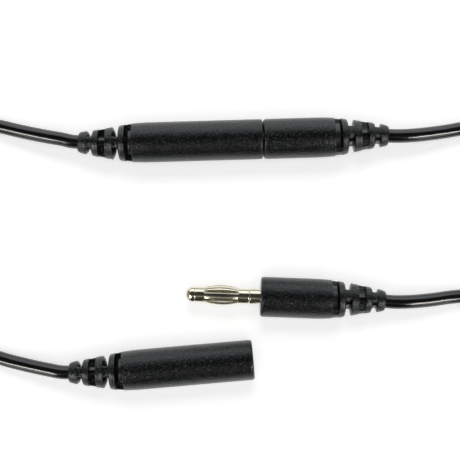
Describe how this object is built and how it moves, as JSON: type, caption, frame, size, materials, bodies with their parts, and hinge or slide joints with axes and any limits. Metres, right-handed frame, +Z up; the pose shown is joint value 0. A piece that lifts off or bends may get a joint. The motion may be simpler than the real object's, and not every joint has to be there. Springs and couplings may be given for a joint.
{
  "type": "esd wrist strap ground lead",
  "caption": "Flexible ground leads with in-line sprung plugs and sockets in slotted-relief handles; one coupling is joined and one apart, and the spare lead is coiled and tied.",
  "frame": {"origin": "on the bench, under the middle of the four connectors' bounding box", "axes": "+X to the right along the couplings, +Y from the parted pair to the joined pair, +Z up from the bench"},
  "size_m": [0.1982, 0.0629, 0.0086],
  "materials": {
    "handle_rubber": "matte, fine moulded grain",
    "core_plastic": "satin",
    "lead_jacket": "glossy soft PVC",
    "nickel_plate": "bright nickel plate",
    "crimp_tin": "tinned",
    "copper_wire": "bare copper strands",
    "resistor_paint": "lacquered",
    "tie_plastic": "satin ribbon"
  },
  "bodies": {
    "left_lead": {"joined_socket_handle": "handle_rubber", "joined_socket_core": "core_plastic", "joined_socket_contact": "nickel_plate", "joined_socket_crimp": "crimp_tin", "joined_socket_conductor": "copper_wire", "joined_socket_lead_end": "lead_jacket", "parted_socket_handle": "handle_rubber", "parted_socket_core": "core_plastic", "parted_socket_contact": "nickel_plate", "parted_socket_crimp": "crimp_tin", "parted_socket_conductor": "copper_wire", "parted_socket_lead_end": "lead_jacket", "left_lead_upper": "lead_jacket", "left_lead_coil": "lead_jacket", "left_lead_lower": "lead_jacket", "left_coil_tie": "tie_plastic"},
    "right_lead": {"joined_plug_handle": "handle_rubber", "joined_plug_core": "core_plastic", "joined_plug_pin": "nickel_plate", "joined_plug_resistor": "resistor_paint", "joined_plug_crimp": "crimp_tin", "joined_plug_conductor": "copper_wire", "joined_plug_lead_end": "lead_jacket", "parted_plug_handle": "handle_rubber", "parted_plug_core": "core_plastic", "parted_plug_pin": "nickel_plate", "parted_plug_resistor": "resistor_paint", "parted_plug_crimp": "crimp_tin", "parted_plug_conductor": "copper_wire", "parted_plug_lead_end": "lead_jacket", "right_lead_upper": "lead_jacket", "right_lead_coil": "lead_jacket", "right_lead_lower": "lead_jacket", "right_coil_tie": "tie_plastic"},
    "joined_cage": {"joined_plug_cage": "nickel_plate"},
    "parted_cage": {"parted_plug_cage": "nickel_plate"}
  },
  "joints": [
    {"name": "plug_pull", "type": "slide", "parent": "left_lead", "child": "right_lead", "axis": [0.9996, 0.0288, 0], "range_m": [0, 0.025]},
    {"name": "joined_cage_spin", "type": "hinge", "parent": "right_lead", "child": "joined_cage", "pos_m": [0.00745, 0.02465, 0.0043], "axis": [-0.9996, -0.0288, 0], "continuous": true},
    {"name": "parted_cage_spin", "type": "hinge", "parent": "right_lead", "child": "parted_cage", "pos_m": [0.0068, -0.00915, 0.0043], "axis": [-0.9993, 0.0366, 0], "continuous": true}
  ]
}
